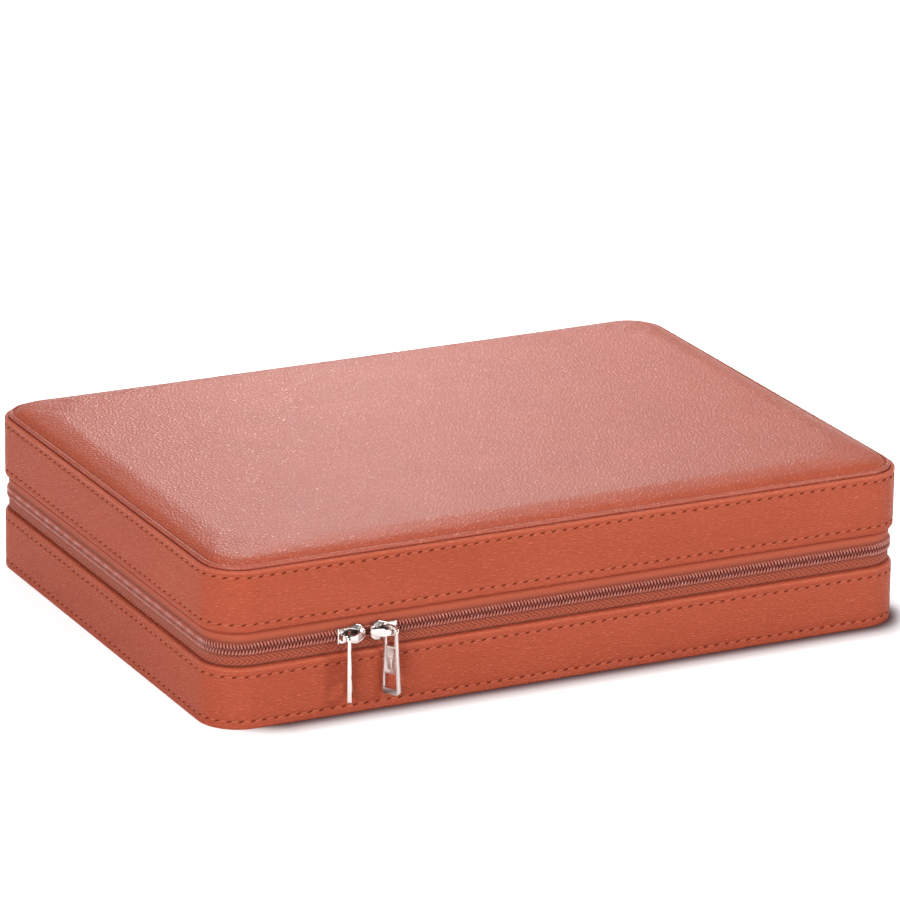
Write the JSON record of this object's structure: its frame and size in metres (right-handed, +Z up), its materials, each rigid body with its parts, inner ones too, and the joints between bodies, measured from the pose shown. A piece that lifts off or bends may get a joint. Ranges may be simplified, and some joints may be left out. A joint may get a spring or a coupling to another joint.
{
  "type": "jewellery case",
  "caption": "Flat rounded zip-round jewellery case in grained leather with a padded lid hinged at the back, a lined tray with dividers and ring rolls, and zip sliders with hanging pulls.",
  "frame": {"origin": "middle of the flat underside, on the surface that the case stands on", "axes": "+X along the length to the right, +Y from the front to the hinge at the back, +Z up"},
  "size_m": [0.36, 0.2731, 0.0816],
  "materials": {
    "leather": "terracotta artificial leather with a pebble grain and a soft sheen",
    "board": "grey bookbinder's board",
    "foam": "soft upholstery foam",
    "velvet": "short-pile beige velvet",
    "zip_tape": "herringbone woven tape",
    "zip_coil": "nylon coil",
    "nickel": "bright nickel plate"
  },
  "bodies": {
    "base": {"base_floor_board": "board", "base_wall_board": "board", "base_side_leather": "leather", "base_bottom_leather": "leather", "insert_tray": "velvet", "divider_long": "velvet", "divider_cross_left": "velvet", "divider_cross_right": "velvet", "divider_front_middle": "velvet", "ring_roll_1": "velvet", "ring_roll_2": "velvet", "ring_roll_3": "velvet", "ring_roll_4": "velvet", "ring_roll_5": "velvet", "ring_roll_6": "velvet", "ring_roll_7": "velvet", "zip_tape_lower": "zip_tape", "zip_coil_lower": "zip_coil", "back_hinge_leather": "leather"},
    "lid": {"lid_wall_board": "board", "lid_top_board": "board", "lid_side_leather": "leather", "lid_foam_pad": "foam", "lid_top_leather": "leather", "lid_lining": "velvet", "zip_tape_upper": "zip_tape", "zip_coil_upper": "zip_coil"},
    "slider_left": {"slider_left": "nickel"},
    "slider_right": {"slider_right": "nickel"},
    "pull_left": {"pull_left": "nickel"},
    "pull_right": {"pull_right": "nickel"}
  },
  "joints": [
    {"name": "lid_hinge", "type": "hinge", "parent": "base", "child": "lid", "pos_m": [0, 0.1315, 0.038], "axis": [-1, 0, 0], "range_deg": [0, 165], "deforming": ["back_hinge_leather", "zip_coil_upper"]},
    {"name": "slider_left_run", "type": "slide", "parent": "base", "child": "slider_left", "axis": [-1, 0, 0], "range_m": [0, 0.04], "deforming": ["zip_coil_lower"]},
    {"name": "slider_right_run", "type": "slide", "parent": "base", "child": "slider_right", "axis": [1, 0, 0], "range_m": [0, 0.248]},
    {"name": "pull_left_swing", "type": "hinge", "parent": "slider_left", "child": "pull_left", "pos_m": [-0.1153, -0.13595, 0.0382], "axis": [-1, 0, 0], "range_deg": [0, 160]},
    {"name": "pull_right_swing", "type": "hinge", "parent": "slider_right", "child": "pull_right", "pos_m": [-0.0944, -0.13595, 0.0382], "axis": [-1, 0, 0], "range_deg": [0, 160]}
  ]
}
